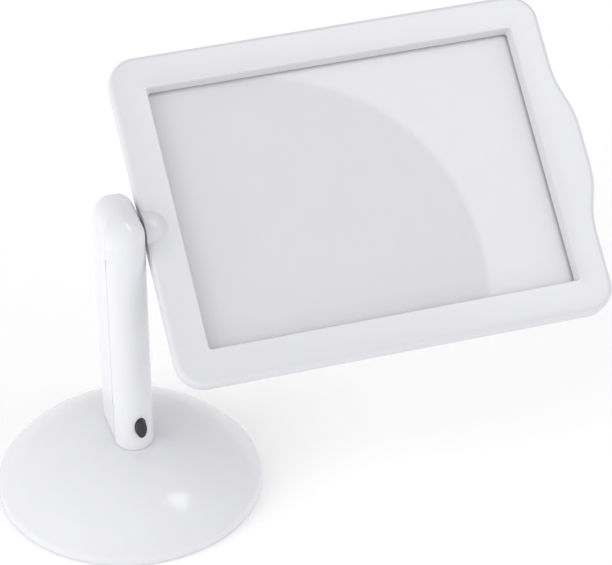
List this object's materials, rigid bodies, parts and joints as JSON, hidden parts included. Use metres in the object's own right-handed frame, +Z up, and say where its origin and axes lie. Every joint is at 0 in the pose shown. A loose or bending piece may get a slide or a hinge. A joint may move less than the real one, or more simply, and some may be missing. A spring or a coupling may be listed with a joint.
{
  "type": "desk magnifier",
  "caption": "Desk magnifier with a framed rectangular lens that tilts on a swivelling arm above a round weighted dome base.",
  "frame": {"origin": "centre of the underside of the pad in the middle of the base, on the ground", "axes": "+Z up; +X from the arm along the tilt axis towards the lens; -Y towards the user"},
  "size_m": [0.3063, 0.1391, 0.2121],
  "materials": {
    "white_abs": "satin moulded white",
    "inner_white_abs": "fine matt texture",
    "black_rubber": "matt",
    "ballast_steel": "rough plate",
    "black_plastic": "satin black",
    "cell_jacket": "plain printed sleeve, no marks",
    "spring_steel": "plated",
    "brass_strip": "plain",
    "clear_acrylic": "clear polished acrylic",
    "circuit_board": "coated board",
    "lamp_resin": "clear resin"
  },
  "bodies": {
    "base": {"base_shell": "white_abs", "base_plate": "inner_white_abs", "foot_pad_1": "black_rubber", "foot_pad_2": "black_rubber", "foot_pad_3": "black_rubber", "foot_pad_4": "black_rubber", "centre_pad": "black_rubber", "ballast_plate": "ballast_steel", "battery_holder": "black_plastic", "battery_1": "cell_jacket", "battery_2": "cell_jacket", "battery_3": "cell_jacket", "contact_spring_1": "spring_steel", "contact_spring_2": "spring_steel", "contact_spring_3": "spring_steel", "contact_strip_left": "brass_strip", "contact_strip_right": "brass_strip", "base_screw_1": "spring_steel", "base_screw_2": "spring_steel", "base_screw_3": "spring_steel", "base_screw_4": "spring_steel"},
    "door": {"battery_door": "inner_white_abs"},
    "arm": {"arm_rear_shell": "white_abs", "arm_front_shell": "white_abs", "arm_screw_1": "spring_steel", "arm_screw_2": "spring_steel", "swivel_spigot": "spring_steel", "swivel_washer": "brass_strip", "swivel_nut": "spring_steel", "switch_body": "black_plastic"},
    "button": {"power_button": "black_plastic", "switch_plunger": "spring_steel"},
    "head": {"bezel_front": "white_abs", "bezel_rear": "white_abs", "lens": "clear_acrylic", "tilt_axle": "spring_steel", "tilt_washer": "brass_strip", "tilt_nut": "spring_steel", "led_board": "circuit_board", "led_1": "lamp_resin", "led_2": "lamp_resin", "led_3": "lamp_resin", "led_4": "lamp_resin", "head_screw_1": "spring_steel", "head_screw_2": "spring_steel", "head_screw_3": "spring_steel", "head_screw_4": "spring_steel", "head_screw_5": "spring_steel", "head_screw_6": "spring_steel"}
  },
  "joints": [
    {"name": "arm_swivel", "type": "hinge", "parent": "base", "child": "arm", "pos_m": [0, 0, 0], "axis": [0, 0, 1], "range_deg": [-170, 170]},
    {"name": "head_tilt", "type": "hinge", "parent": "arm", "child": "head", "pos_m": [0, -0.00442, 0.15559], "axis": [1, 0, 0], "range_deg": [-127, 52]},
    {"name": "button_press", "type": "slide", "parent": "arm", "child": "button", "axis": [0, 1, 0], "range_m": [0, 0.0012], "stiffness_N_per_m": 600},
    {"name": "battery_door_lift", "type": "slide", "parent": "base", "child": "door", "axis": [0, 0, -1], "range_m": [0, 0.02]}
  ]
}
